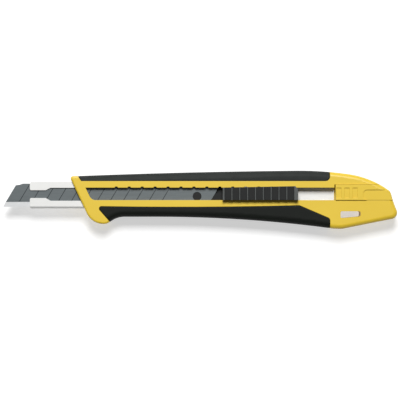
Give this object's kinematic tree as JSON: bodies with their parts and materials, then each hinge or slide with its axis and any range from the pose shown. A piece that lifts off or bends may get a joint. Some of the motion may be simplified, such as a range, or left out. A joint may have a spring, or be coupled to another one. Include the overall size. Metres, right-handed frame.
{
  "type": "snap-off utility knife",
  "caption": "Slim snap-off utility knife with a stainless blade channel, sliding auto-lock, rubber-gripped handle and pull-out end plug.",
  "frame": {"origin": "on the plane the knife lies on, under the blade's centre line, at the middle of the handle's length", "axes": "+X from the blade tip to the heel along the blade's centre line, +Y from the cutting edge to the blade's back, +Z from the handle's back to its rail face"},
  "size_m": [0.1526, 0.0225, 0.0126],
  "materials": {
    "yellow_nylon": "satin moulded",
    "black_elastomer": "matt moulded",
    "stainless_sheet": "satin",
    "blade_steel": "ground, blued",
    "black_acetal": "satin moulded",
    "spring_steel": "bright"
  },
  "bodies": {
    "handle": {"handle_body": "yellow_nylon", "grip_top": "black_elastomer", "grip_bottom": "black_elastomer", "grip_back_pad": "black_elastomer", "blade_channel": "stainless_sheet"},
    "carriage": {"slide_carriage": "black_acetal", "blade": "blade_steel", "lock_spring": "spring_steel"},
    "thumb": {"thumb_slider": "black_acetal"},
    "plug": {"end_plug": "yellow_nylon"}
  },
  "joints": [
    {"name": "blade_slide", "type": "slide", "parent": "handle", "child": "carriage", "axis": [-1, 0, 0], "range_m": [-0.013, 0.05], "deforming": ["lock_spring"]},
    {"name": "thumb_travel", "type": "slide", "parent": "carriage", "child": "thumb", "axis": [-1, 0, 0], "range_m": [-0.0007, 0.0007], "stiffness_N_per_m": 1200, "deforming": ["lock_spring"]},
    {"name": "end_plug_pull", "type": "slide", "parent": "handle", "child": "plug", "axis": [1, 0, 0], "range_m": [0, 0.03]}
  ]
}
